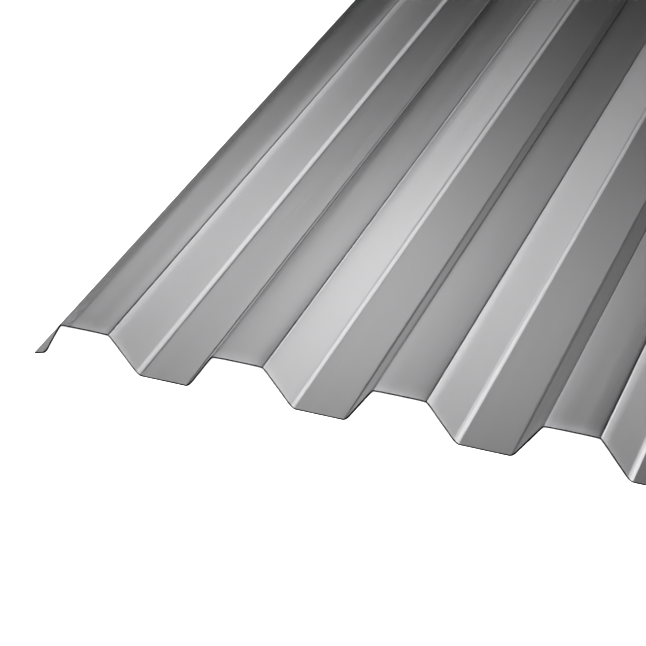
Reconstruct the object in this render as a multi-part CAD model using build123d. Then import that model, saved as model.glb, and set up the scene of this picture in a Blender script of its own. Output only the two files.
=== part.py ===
from build123d import *
import os

# One corrugated polycarbonate roofing sheet, in millimetres.
# X runs across the ribs, Y along them and Z up. The origin is on the floor, under the sheet's middle.
# The valleys' undersides lie at Z = 0, and a rib stands over X = 0.

# Sheet
length = 1828.8  # six-foot stock, along the ribs
thickness = 0.8
rib_count = 9
pitch = 76.2  # from the middle of one rib to the middle of the next
rise = 19.05  # from a valley up to a crest

# Section, taken on the wall's middle line between its sharp corners
crest_width = 25.0
crest_crown = 0.35  # how far a crest bulges above its two corners
valley_width = 25.0
crest_bend_radius = 2.5
valley_bend_radius = 3.5

# Side edges: the outer webs are steeper, stop short of the floor and turn out into a narrow lip
outer_web_run = 10.0  # how far an outer web spreads outwards below its crest
lip_width = 6.0
lip_drop = 1.7  # the lip's fall from its bend to its tip

# Places worked out from the sizes
valley_level = thickness / 2
crest_level = valley_level + rise
lip_bend_level = valley_level + lip_drop
web_run = (pitch - crest_width - valley_width) / 2
first_rib = -(rib_count - 1) * pitch / 2


def crest_ends(rib):
    """The two upper corners of a rib, numbered from the left."""
    middle = first_rib + rib * pitch
    return (middle - crest_width / 2, crest_level), (middle + crest_width / 2, crest_level)


def left_edge():
    """The left lip's tip, its bend, and the first rib's left corner."""
    corner = crest_ends(0)[0]
    bend = (corner[0] - outer_web_run, lip_bend_level)
    tip = (bend[0] - lip_width, valley_level)
    return tip, bend, corner


def middle_line():
    """The wall's middle line from lip to lip: crowned crests, straight webs, flat valleys, rounded bends."""
    with BuildLine(Plane.XZ) as line:
        Polyline(*left_edge())
        for rib in range(rib_count):
            left, right = crest_ends(rib)
            SagittaArc(left, right, crest_crown)
            if rib < rib_count - 1:
                valley_start = (right[0] + web_run, valley_level)
                valley_end = (valley_start[0] + valley_width, valley_level)
                Polyline(right, valley_start, valley_end, crest_ends(rib + 1)[0])
        Polyline(*[(-x, z) for x, z in left_edge()])

        half_way_up = valley_level + rise / 2
        inner_corners = line.vertices().sort_by(Axis.X)[1:-1]
        fillet(inner_corners.filter_by(lambda v: v.Z < half_way_up), valley_bend_radius)
        fillet(line.vertices().filter_by(lambda v: v.Z > half_way_up), crest_bend_radius)
    return line.wire()


def section():
    """The sheet's closed outline: half the thickness to each side of the middle line, cut square at the lips."""
    middle = middle_line()
    one_side = middle.offset_2d(thickness / 2, side=Side.LEFT, closed=False)
    other_side = middle.offset_2d(thickness / 2, side=Side.RIGHT, closed=False)
    ends = [side.vertices().sort_by(Axis.X) for side in (one_side, other_side)]
    left_cut = Edge.make_line(ends[0][0].center(), ends[1][0].center())
    right_cut = Edge.make_line(ends[0][-1].center(), ends[1][-1].center())
    return Face(Wire([*one_side.edges(), right_cut, *other_side.edges(), left_cut]))


corrugated_sheet = extrude(section(), amount=length / 2, both=True)

os.makedirs("parts", exist_ok=True)
export_step(corrugated_sheet, "parts/corrugated_sheet.step")
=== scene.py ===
import math

import bpy
from mathutils import Matrix, Vector


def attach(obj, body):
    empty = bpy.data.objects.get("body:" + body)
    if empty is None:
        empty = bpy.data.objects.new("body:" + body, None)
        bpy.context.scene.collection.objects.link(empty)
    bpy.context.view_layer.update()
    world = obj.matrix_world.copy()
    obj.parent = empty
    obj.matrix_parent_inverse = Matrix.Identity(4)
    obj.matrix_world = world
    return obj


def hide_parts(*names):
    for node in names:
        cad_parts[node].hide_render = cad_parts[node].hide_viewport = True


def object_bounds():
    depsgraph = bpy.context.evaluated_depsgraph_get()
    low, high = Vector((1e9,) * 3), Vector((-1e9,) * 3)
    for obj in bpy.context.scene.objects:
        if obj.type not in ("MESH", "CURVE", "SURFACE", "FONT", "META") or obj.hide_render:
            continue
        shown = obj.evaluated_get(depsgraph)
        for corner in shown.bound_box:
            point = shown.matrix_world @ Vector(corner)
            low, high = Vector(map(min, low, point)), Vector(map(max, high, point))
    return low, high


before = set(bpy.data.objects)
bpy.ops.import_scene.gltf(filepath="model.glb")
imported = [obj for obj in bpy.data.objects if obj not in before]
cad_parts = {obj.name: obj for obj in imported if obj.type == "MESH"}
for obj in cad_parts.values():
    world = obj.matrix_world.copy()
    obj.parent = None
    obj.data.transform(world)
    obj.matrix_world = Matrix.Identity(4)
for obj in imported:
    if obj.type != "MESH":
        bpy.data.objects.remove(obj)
cad_low, cad_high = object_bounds()

# Everything is in metres, in the frame of the CAD part: X across the ribs, Y along them and Z up.

# Sheet: the part's own sizes
LENGTH = 1.8288
THICKNESS = 0.0008
RIB_COUNT = 9
PITCH = 0.0762
RISE = 0.01905
CREST_WIDTH = 0.025
VALLEY_WIDTH = 0.025
OUTER_WEB_RUN = 0.010
LIP_WIDTH = 0.006
LIP_DROP = 0.0017
CROWN_CLEARANCE = 0.00004  # kept between a crest's top and the CAD box

# How a bend turns from its flat to its web: each length of arc, and the share of the turn made by its end
CREST_BEND = ((0.0004, 0.10), (0.0008, 0.95), (0.0045, 1.0))
VALLEY_BEND = ((0.0002, 0.45), (0.0028, 0.92), (0.0012, 1.0))

# How a crest arches between its bends
ARCH_POWER = 4  # 2 is an even arc, and more is flatter in the middle and steeper at the ends
ARCH_STEEPNESS = 6.2  # the slope where a crest leaves its bends, as a multiple of its crown over its width

# Mesh density
BEND_STEPS = 5  # in each length of a bend
CREST_STEPS = 16
VALLEY_STEPS = 4
WEB_STEPS = 3
LENGTH_STEPS = 24
SAME_LEVEL = 1e-6  # two heights closer than this are one level

# Plastic: each noise has a scale per metre across the ribs and along them, a detail and a bump's height
STREAKS_ACROSS = 170.0
STREAKS_ALONG = 3.0
STREAKS_DETAIL = 3.0
STREAKS_HEIGHT = 0.00005
CLOUD_ACROSS = 25.0
CLOUD_ALONG = 9.0
CLOUD_DETAIL = 2.0
CLOUD_HEIGHT = 0.0001
NOISE_RANGE = (0.3, 0.7)  # where most of a noise lies
TONE_RANGE = (0.0, 1.0)  # from all cool to all warm
SMOKE_COOL = (0.283, 0.288, 0.292)
SMOKE_WARM = (0.297, 0.291, 0.293)
ROUGHNESS_RANGE = (0.08, 0.12)
PLASTIC_IOR = 1.58
TINT_COLOUR = (0.2, 0.2, 0.21)
TINT_DENSITY = 850.0  # per metre

# Floor
FLOOR_REACH = 12.0  # from the middle to each side
FLOOR_GAP = 0.0001  # below the sheet, so that the two never share a face
FLOOR_COLOUR = (0.9, 0.9, 0.9)
FLOOR_ROUGHNESS = 0.9

# Camera, fitted to the sheet's edges in the photograph
CAMERA_PLACE = (0.09527, -1.54341, 0.51642)
CAMERA_AZIMUTH = -24.121  # of the look, in degrees from +Y towards +X
CAMERA_ELEVATION = -34.103
CAMERA_ROLL = -2.832
CAMERA_LENS = 109.468  # millimetres, as is the sensor's width
SENSOR_WIDTH = 36.0


# Section of the sheet

valley_level = THICKNESS / 2
crest_level = valley_level + RISE
lip_bend_level = valley_level + LIP_DROP
first_rib = -(RIB_COUNT - 1) * PITCH / 2
crown = cad_high.z - CROWN_CLEARANCE - (crest_level + THICKNESS / 2)


def corner_points():
    """The wall's middle line as sharp corners, each with its bend, from the left lip to the right lip."""
    left = first_rib - CREST_WIDTH / 2 - OUTER_WEB_RUN
    corners = [(left - LIP_WIDTH, valley_level, None), (left, lip_bend_level, VALLEY_BEND)]
    for rib in range(RIB_COUNT):
        middle = first_rib + rib * PITCH
        corners.append((middle - CREST_WIDTH / 2, crest_level, CREST_BEND))
        corners.append((middle + CREST_WIDTH / 2, crest_level, CREST_BEND))
        if rib < RIB_COUNT - 1:
            valley = middle + PITCH / 2
            corners.append((valley - VALLEY_WIDTH / 2, valley_level, VALLEY_BEND))
            corners.append((valley + VALLEY_WIDTH / 2, valley_level, VALLEY_BEND))
    corners.append((-left, lip_bend_level, VALLEY_BEND))
    corners.append((-left + LIP_WIDTH, valley_level, None))
    return corners


def facing(heading):
    """The upper side's normal of a wall that runs at this angle."""
    return Vector((-math.sin(heading), math.cos(heading)))


def heading_between(start, end):
    """The angle at which a wall runs from one point to the other."""
    return math.atan2(end[1] - start[1], end[0] - start[0])


def bend_points(before, corner, after, bend):
    """Points and normals round one bend, from its bend list, laid so that it meets both straights."""
    heading = heading_between(before, corner)
    turn = heading_between(corner, after) - heading
    flat_first = abs(heading) < abs(heading + turn)
    pieces = [(0.0, 0.0), *bend]
    spans = [(pieces[i + 1][0], pieces[i][1], pieces[i + 1][1]) for i in range(len(bend))]
    if not flat_first:
        spans = [(length, 1 - end, 1 - start) for length, start, end in reversed(spans)]
    place = Vector((0, 0))
    points = [(place.copy(), facing(heading))]
    for length, start, end in spans:
        for step in range(BEND_STEPS):
            middle = heading + turn * (start + (end - start) * (step + 0.5) / BEND_STEPS)
            ahead = heading + turn * (start + (end - start) * (step + 1) / BEND_STEPS)
            place = place + Vector((math.cos(middle), math.sin(middle))) * length / BEND_STEPS
            points.append((place, facing(ahead)))
    # The tangents at the bend's two ends meet at the corner, which gives the place where it starts
    last = heading + turn
    beyond = (place.x * math.sin(heading) - place.y * math.cos(heading)) / math.sin(-turn)
    reach = (place - Vector((math.cos(last), math.sin(last))) * beyond).length
    start = Vector(corner) - Vector((math.cos(heading), math.sin(heading))) * reach
    return [(start + point, normal) for point, normal in points]


def arch_line(start, end, slope):
    """Points and normals over a crest between its bends, with this slope at both ends."""
    span = end.x - start.x
    points = []
    for step in range(1, CREST_STEPS):
        along = step / CREST_STEPS
        aside = 1 - 2 * along
        rise = slope * span * (1 - aside**ARCH_POWER) / (2 * ARCH_POWER)
        place = Vector((start.x + span * along, start.y + rise))
        points.append((place, facing(slope * aside ** (ARCH_POWER - 1))))
    return points


def straight_line(start, end, steps):
    """Points and normals between two bends that a straight wall joins."""
    normal = facing(heading_between(start, end))
    return [(start.lerp(end, step / steps), normal) for step in range(1, steps)]


def section():
    """The middle line as (point, normal) pairs, with every bend round and every crest a little arched."""
    corners = corner_points()
    crest_slope = ARCH_STEEPNESS * crown / CREST_WIDTH
    # A crest leaves both its corners towards this height over its middle
    arch_top = crest_level + crest_slope * CREST_WIDTH / 2
    line = []
    for i, (x, z, bend) in enumerate(corners):
        here = (x, z)
        before = corners[i - 1][:2] if i else None
        after = corners[i + 1][:2] if i < len(corners) - 1 else None
        on_crest = z == crest_level
        if on_crest and before[1] == z:
            before = ((before[0] + x) / 2, arch_top)
        elif on_crest:
            after = ((after[0] + x) / 2, arch_top)
        if bend:
            points = bend_points(before, here, after, bend)
        else:
            heading = heading_between(here, after) if after else heading_between(before, here)
            points = [(Vector(here), facing(heading))]
        if line:
            last = line[-1][0]
            first = points[0][0]
            if on_crest and corners[i - 1][1] == z:
                line += arch_line(last, first, crest_slope)
            else:
                level = abs(last.y - first.y) < SAME_LEVEL
                line += straight_line(last, first, VALLEY_STEPS if level else WEB_STEPS)
        line += points
    return line


def sharpen_cut_edges(mesh, count, half):
    """Keeps the edges of the four cut faces sharp: those of the sheet's two ends and of its two lips."""
    sharp = []
    for edge in mesh.edges:
        a, b = (v % count for v in edge.vertices)
        row = edge.vertices[0] // count
        same_row = row == edge.vertices[1] // count
        end_edge = same_row and row in (0, LENGTH_STEPS)
        side_edge = not same_row and a == b and a in (0, half - 1, half, count - 1)
        across_lip = {a, b} in ({0, count - 1}, {half - 1, half})
        sharp.append(end_edge or side_edge or across_lip)
    attribute = mesh.attributes.new("sharp_edge", "BOOLEAN", "EDGE")
    attribute.data.foreach_set("value", sharp)


def make_sheet():
    """One closed mesh: the section's outline in rows along the sheet, and a cut face at each end."""
    line = section()
    top = [(p + n * THICKNESS / 2, n) for p, n in line]
    under = [(p - n * THICKNESS / 2, -n) for p, n in line]
    loop = top + under[::-1]
    count = len(loop)
    half = len(line)
    vertices = []
    for row in range(LENGTH_STEPS + 1):
        y = -LENGTH / 2 + LENGTH * row / LENGTH_STEPS
        vertices += [(p.x, y, p.y) for p, n in loop]
    faces = []
    normals = []
    for row in range(LENGTH_STEPS):
        for i in range(count):
            j = (i + 1) % count
            a = row * count
            b = a + count
            faces.append((a + i, a + j, b + j, b + i))
            ends = [loop[k][1] for k in (i, j)]
            if i in (half - 1, count - 1):
                # The cut face of a lip looks along the wall
                across = Vector((ends[0].y, -ends[0].x))
                ends = [across, across]
            first, second = [(n.x, 0, n.y) for n in ends]
            normals += [first, second, second, first]
    last = LENGTH_STEPS * count
    for i in range(half - 1):
        k = count - 1 - i
        faces.append((i, k, k - 1, i + 1))
        faces.append((last + i, last + i + 1, last + k - 1, last + k))
        normals += [(0, -1, 0)] * 4 + [(0, 1, 0)] * 4
    mesh = bpy.data.meshes.new("corrugated_sheet_body")
    mesh.from_pydata(vertices, [], faces)
    mesh.polygons.foreach_set("use_smooth", [True] * len(faces))
    sharpen_cut_edges(mesh, count, half)
    mesh.update()
    mesh.normals_split_custom_set(normals)
    sheet = bpy.data.objects.new("corrugated_sheet_body", mesh)
    bpy.context.scene.collection.objects.link(sheet)
    return sheet


# Materials


def new_material(name):
    """A material with no nodes yet, and its lists of nodes and links."""
    material = bpy.data.materials.new(name)
    material.use_nodes = True
    material.node_tree.nodes.clear()
    return material, material.node_tree.nodes, material.node_tree.links


def map_range(tree, value, source, result=(0.0, 1.0), kind="LINEAR"):
    """A value's range mapped to another one, and held at its ends."""
    node = tree.nodes.new("ShaderNodeMapRange")
    node.interpolation_type = kind
    node.inputs["From Min"].default_value = source[0]
    node.inputs["From Max"].default_value = source[1]
    node.inputs["To Min"].default_value = result[0]
    node.inputs["To Max"].default_value = result[1]
    tree.links.new(value, node.inputs["Value"])
    return node.outputs["Result"]


def smoke_polycarbonate():
    """Clear smoke-grey plastic, with faint streaks along the ribs and a slow cloudiness."""
    material, nodes, links = new_material("smoke_polycarbonate")
    tree = material.node_tree
    place = nodes.new("ShaderNodeTexCoord").outputs["Object"]

    def noise(scale_across, scale_along, detail):
        mapping = nodes.new("ShaderNodeMapping")
        mapping.inputs["Scale"].default_value = (scale_across, scale_along, scale_across)
        links.new(place, mapping.inputs["Vector"])
        texture = nodes.new("ShaderNodeTexNoise")
        texture.inputs["Scale"].default_value = 1.0
        texture.inputs["Detail"].default_value = detail
        links.new(mapping.outputs["Vector"], texture.inputs["Vector"])
        return texture.outputs[0]

    def bump(height, distance):
        node = nodes.new("ShaderNodeBump")
        node.inputs["Strength"].default_value = 1.0
        node.inputs["Distance"].default_value = distance
        links.new(height, node.inputs["Height"])
        return node

    streaks = noise(STREAKS_ACROSS, STREAKS_ALONG, STREAKS_DETAIL)
    cloud = noise(CLOUD_ACROSS, CLOUD_ALONG, CLOUD_DETAIL)
    fine = bump(streaks, STREAKS_HEIGHT)
    waves = bump(cloud, CLOUD_HEIGHT)
    links.new(fine.outputs["Normal"], waves.inputs["Normal"])
    tone = nodes.new("ShaderNodeMix")
    tone.data_type = "RGBA"
    tone.inputs["A"].default_value = (*SMOKE_COOL, 1)
    tone.inputs["B"].default_value = (*SMOKE_WARM, 1)
    links.new(map_range(tree, cloud, NOISE_RANGE, TONE_RANGE), tone.inputs["Factor"])
    roughness = map_range(tree, streaks, NOISE_RANGE, ROUGHNESS_RANGE)

    output = nodes.new("ShaderNodeOutputMaterial")
    plastic = nodes.new("ShaderNodeBsdfPrincipled")
    links.new(tone.outputs["Result"], plastic.inputs["Base Color"])
    links.new(roughness, plastic.inputs["Roughness"])
    links.new(waves.outputs["Normal"], plastic.inputs["Normal"])
    plastic.inputs["IOR"].default_value = PLASTIC_IOR
    plastic.inputs["Transmission Weight"].default_value = 1.0
    links.new(plastic.outputs["BSDF"], output.inputs["Surface"])
    tint = nodes.new("ShaderNodeVolumeAbsorption")
    tint.inputs["Color"].default_value = (*TINT_COLOUR, 1)
    tint.inputs["Density"].default_value = TINT_DENSITY
    links.new(tint.outputs["Volume"], output.inputs["Volume"])
    return material


def floor_material():
    """Matt pale paint."""
    material, nodes, links = new_material("pale_floor")
    output = nodes.new("ShaderNodeOutputMaterial")
    paint = nodes.new("ShaderNodeBsdfPrincipled")
    paint.inputs["Base Color"].default_value = (*FLOOR_COLOUR, 1)
    paint.inputs["Roughness"].default_value = FLOOR_ROUGHNESS
    paint.inputs["Specular IOR Level"].default_value = 0.0
    links.new(paint.outputs["BSDF"], output.inputs["Surface"])
    return material


# Light: a room of soft panels. Each face of the sheet mirrors its own part of it, and the panels' places and
# lights follow the tones of those faces in the photograph.

# A direction is given by two angles in degrees. Across goes from straight up (0) to the right (90).
# Round goes from the ribs' far end (0) to straight up or sideways (90).
# A bend of the sheet sweeps across, and the sheet's length sweeps round.
# Each panel: where it starts and ends across, how soft each end is, its middle round at its start and
# at its end, its spread round, and its light. Panels that overlap add up.
PANELS = [
    # The underside of the outer web, in the mouth of the first rib
    (-180.0, -158.0, 4.0, 2.0, 51.0, 51.0, 2.3, 27.0),
    # The webs that face left
    (-160.0, -142.0, 3.0, 2.0, 41.5, 41.0, 6.5, 1.08),
    # The bends next to them
    (-142.0, -95.0, 2.0, 6.0, 41.0, 35.0, 5.8, 0.37),
    (-95.0, -60.0, 6.0, 4.0, 41.0, 41.0, 5.5, 0.97),
    # The left lip
    (-85.0, -64.0, 4.0, 4.0, 44.5, 44.5, 2.5, 1.62),
    # The dark band along the first crest
    (-60.0, -41.4, 3.0, 0.4, 42.6, 42.6, 4.7, 1.3),
    # All crests and valleys, then more light for the leftmost, for the rest, and where those two meet
    (-41.4, -10.0, 0.4, 2.0, 42.4, 36.4, 4.7, 2.16),
    (-41.4, -34.5, 1.0, 2.0, 43.5, 43.5, 4.4, 1.62),
    (-34.5, -18.8, 2.0, 4.5, 41.0, 37.9, 4.7, 1.51),
    (-36.0, -27.0, 1.3, 3.0, 41.5, 39.8, 4.7, 1.19),
    # The bright lines in the bends at the foot of the webs that face right
    (20.0, 32.0, 3.0, 12.0, 41.5, 41.5, 6.5, 5.4),
    (32.0, 66.0, 12.0, 1.5, 41.5, 41.5, 6.5, 11.02),
    (66.0, 70.5, 1.5, 1.2, 41.5, 41.5, 5.8, 8.64),
    # The webs that face right, from the first rib to the fourth
    (70.5, 75.6, 1.2, 1.3, 41.8, 41.8, 4.9, 6.59),
    (75.6, 82.5, 1.3, 2.5, 41.0, 40.0, 5.5, 7.83),
    (82.0, 90.5, 3.0, 3.0, 39.0, 38.0, 5.8, 5.24),
    (90.5, 100.0, 3.0, 5.0, 36.5, 36.0, 5.6, 2.92),
]
PANEL_TINT = (1.0, 0.993, 1.008)

# The even light of the rest of the room. A height is the upward part of a direction, from -1 to 1.
DOME_LIGHT = 0.9
DOME_TOP = 2.5  # the same, straight overhead
DOME_TOP_HEIGHTS = (0.5, 0.9)  # between these, the one turns into the other
DOME_ROUND = (55.0, 72.0)  # between these angles round, it fades in beyond the panels
DOME_LOWEST = (-0.45, -0.25)  # between these heights, it fades in from below


def studio_world():
    """The room's light, which is all that the sheet mirrors."""
    world = bpy.data.worlds.new("studio")
    bpy.context.scene.world = world
    world.use_nodes = True
    tree = world.node_tree
    nodes = tree.nodes
    links = tree.links
    nodes.clear()

    def math_node(operation, a, b=None):
        node = nodes.new("ShaderNodeMath")
        node.operation = operation
        for socket, value in zip(node.inputs, (a, b)):
            if value is None:
                continue
            if isinstance(value, (int, float)):
                socket.default_value = value
            else:
                links.new(value, socket)
        return node.outputs[0]

    def soft(value, low, high):
        return map_range(tree, value, (low, high), kind="SMOOTHSTEP")

    coordinates = nodes.new("ShaderNodeTexCoord")
    split = nodes.new("ShaderNodeSeparateXYZ")
    links.new(coordinates.outputs["Generated"], split.inputs[0])
    x, y, z = split.outputs
    to_degrees = 180 / math.pi
    across_angle = math_node("MULTIPLY", math_node("ARCTAN2", x, z), to_degrees)
    round_angle = math_node("MULTIPLY", math_node("ARCCOSINE", y), to_degrees)

    dome = math_node("MULTIPLY", soft(z, *DOME_TOP_HEIGHTS), DOME_TOP - DOME_LIGHT)
    dome = math_node("ADD", dome, DOME_LIGHT)
    edges = math_node("MULTIPLY", soft(round_angle, *DOME_ROUND), soft(z, *DOME_LOWEST))
    total = math_node("MULTIPLY", dome, edges)
    for start, end, start_soft, end_soft, start_middle, end_middle, spread, light in PANELS:
        started = soft(across_angle, start - start_soft, start + start_soft)
        ended = soft(across_angle, end - end_soft, end + end_soft)
        inside = math_node("MULTIPLY", started, math_node("SUBTRACT", 1.0, ended))
        # Round its middle, a panel fades to both sides as a bell curve does
        middle = map_range(tree, across_angle, (start, end), (start_middle, end_middle))
        away = math_node("DIVIDE", math_node("SUBTRACT", round_angle, middle), spread)
        bell = math_node("EXPONENT", math_node("MULTIPLY", math_node("MULTIPLY", away, away), -0.5))
        panel = math_node("MULTIPLY", math_node("MULTIPLY", inside, bell), light)
        total = math_node("ADD", total, panel)
    background = nodes.new("ShaderNodeBackground")
    links.new(total, background.inputs["Strength"])
    background.inputs["Color"].default_value = (*PANEL_TINT, 1)
    output = nodes.new("ShaderNodeOutputWorld")
    links.new(background.outputs[0], output.inputs["Surface"])


def make_light(name, place, target, width, height, power):
    """A soft box that lights only the floor. It can't be seen, mirrored in the sheet or seen through it."""
    data = bpy.data.lights.new(name, "AREA")
    data.shape = "RECTANGLE"
    data.size = width
    data.size_y = height
    data.energy = power
    light = bpy.data.objects.new(name, data)
    aim = Vector(target) - Vector(place)
    turn = aim.to_track_quat("-Z", "Y").to_matrix().to_4x4()
    light.matrix_world = Matrix.Translation(place) @ turn
    light.visible_camera = False
    light.visible_glossy = False
    light.visible_transmission = False
    bpy.context.scene.collection.objects.link(light)


def make_floor():
    """A wide level floor, which the sheet doesn't mirror."""
    mesh = bpy.data.meshes.new("floor")
    corners = [(-1, -1), (1, -1), (1, 1), (-1, 1)]
    vertices = [(x * FLOOR_REACH, y * FLOOR_REACH, -FLOOR_GAP) for x, y in corners]
    mesh.from_pydata(vertices, [], [(0, 1, 2, 3)])
    floor = bpy.data.objects.new("floor", mesh)
    bpy.context.scene.collection.objects.link(floor)
    floor.data.materials.append(floor_material())
    floor.visible_glossy = False


def make_camera():
    """The camera, turned by its azimuth and elevation and then rolled about its line of sight."""
    azimuth, elevation, roll = (math.radians(a) for a in (CAMERA_AZIMUTH, CAMERA_ELEVATION, CAMERA_ROLL))
    flat = math.cos(elevation)
    forward = Vector((math.sin(azimuth) * flat, math.cos(azimuth) * flat, math.sin(elevation)))
    level_right = forward.cross(Vector((0, 0, 1))).normalized()
    level_up = level_right.cross(forward)
    right = level_right * math.cos(roll) + level_up * math.sin(roll)
    up = level_up * math.cos(roll) - level_right * math.sin(roll)
    data = bpy.data.cameras.new("camera")
    data.lens = CAMERA_LENS
    data.sensor_width = SENSOR_WIDTH
    camera = bpy.data.objects.new("camera", data)
    axes = Matrix((right, up, -forward)).transposed().to_4x4()
    camera.matrix_world = Matrix.Translation(CAMERA_PLACE) @ axes
    bpy.context.scene.collection.objects.link(camera)
    bpy.context.scene.camera = camera


bpy.context.scene.view_settings.view_transform = "Standard"
make_camera()
make_floor()
studio_world()
# Over the part of the sheet in view
make_light(
    "top",
    place=(-0.17, -0.86, 0.25),
    target=(-0.17, -0.86, 0.0),
    width=0.7,
    height=0.15,
    power=2.6,
)
# Beside the camera, so that the floor seen under the ribs is the floor that it lights
make_light(
    "front",
    place=(0.16, -1.68, 0.62),
    target=(-0.17, -0.9, 0.0),
    width=0.25,
    height=0.25,
    power=45.0,
)

sheet = make_sheet()
# The sheet doesn't mirror itself either, so each of its faces keeps an even tone
sheet.visible_glossy = False
sheet.data.materials.append(smoke_polycarbonate())
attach(sheet, "root")
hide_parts("corrugated_sheet")
